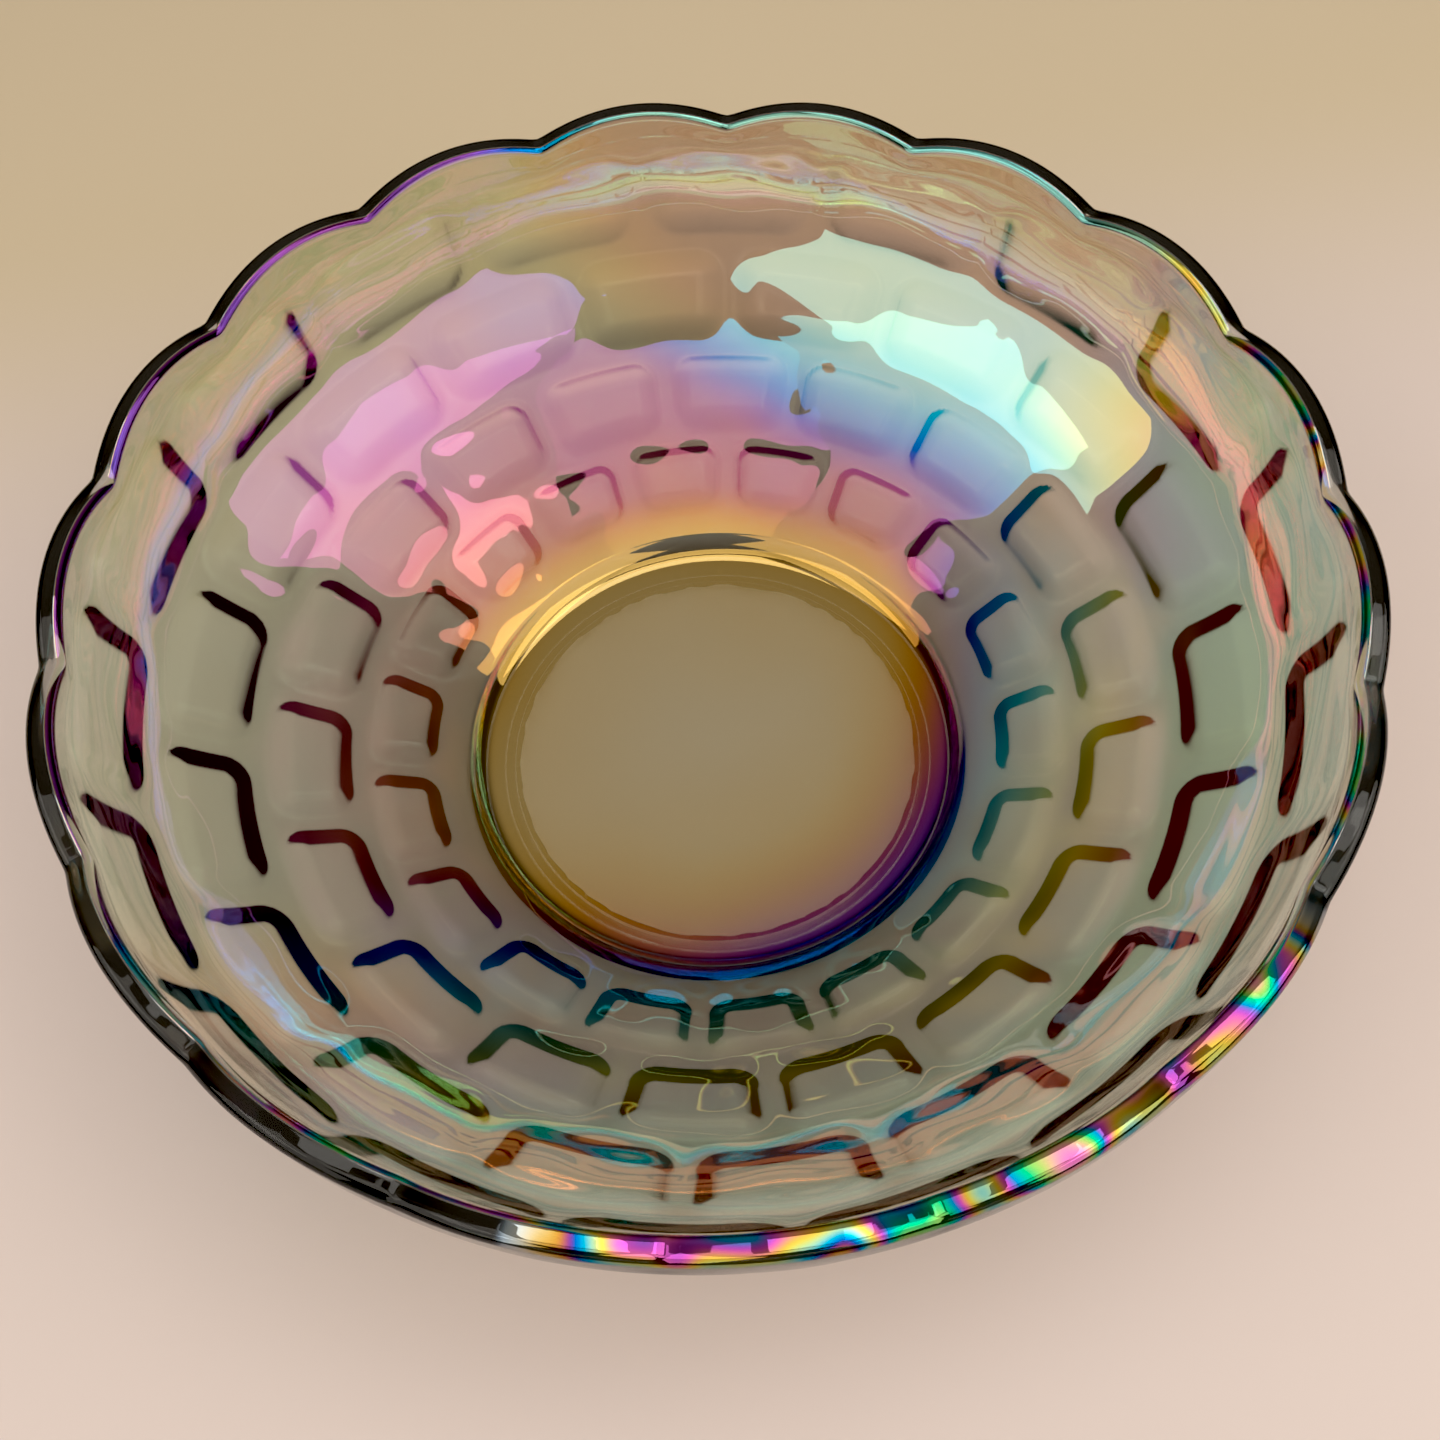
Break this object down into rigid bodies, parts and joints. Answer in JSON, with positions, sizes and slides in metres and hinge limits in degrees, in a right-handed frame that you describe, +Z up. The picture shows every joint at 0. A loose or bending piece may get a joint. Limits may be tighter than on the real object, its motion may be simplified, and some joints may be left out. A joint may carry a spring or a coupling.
{
  "type": "pressed glass bowl",
  "caption": "Round pressed glass fruit bowl with a scalloped rim, staggered thumbprint recesses outside, a plain foot ring and an iridescent lustre film inside.",
  "frame": {"origin": "middle of the circle that the foot ring rests on", "axes": "+Z up through the middle of the bowl; the middle of one rim lobe points along -Y"},
  "size_m": [0.2488, 0.25, 0.08],
  "materials": {
    "smoke_glass": "fire-polished smoke-tinted pressed glass",
    "lustre_film": "fired-on iridescent metallic film, pink, gold, green and violet"
  },
  "bodies": {
    "root": {"glass_bowl": "smoke_glass", "inner_lustre_film": "lustre_film"}
  },
  "joints": []
}
